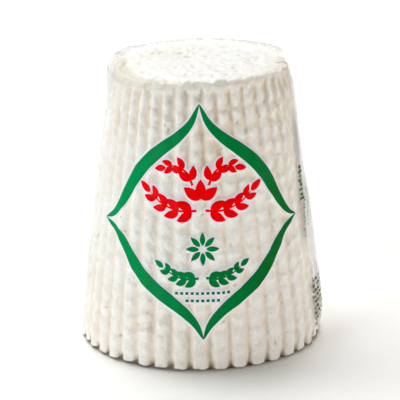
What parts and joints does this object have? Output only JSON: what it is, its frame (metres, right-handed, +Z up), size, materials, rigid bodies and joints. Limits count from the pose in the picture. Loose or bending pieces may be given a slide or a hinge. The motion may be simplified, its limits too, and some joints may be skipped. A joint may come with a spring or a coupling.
{
  "type": "moulded ricotta round",
  "caption": "Small ribbed truncated-cone cheese with a flat pitted top, sealed in close clear printed film, standing on its flat foot.",
  "frame": {"origin": "middle of the flat foot", "axes": "+Z up the height, -Y towards the printed side of the film, +X to that side's right"},
  "size_m": [0.083, 0.0834, 0.097],
  "materials": {
    "cheese": "moist white curd, granular, with a dull skin",
    "film": "clear shrunk film, glossy",
    "print_green": "green printed ink under gloss film",
    "print_red": "red printed ink under gloss film",
    "print_white": "white printed ink under gloss film"
  },
  "bodies": {
    "root": {"wrapped_ricotta": "cheese"}
  },
  "joints": []
}
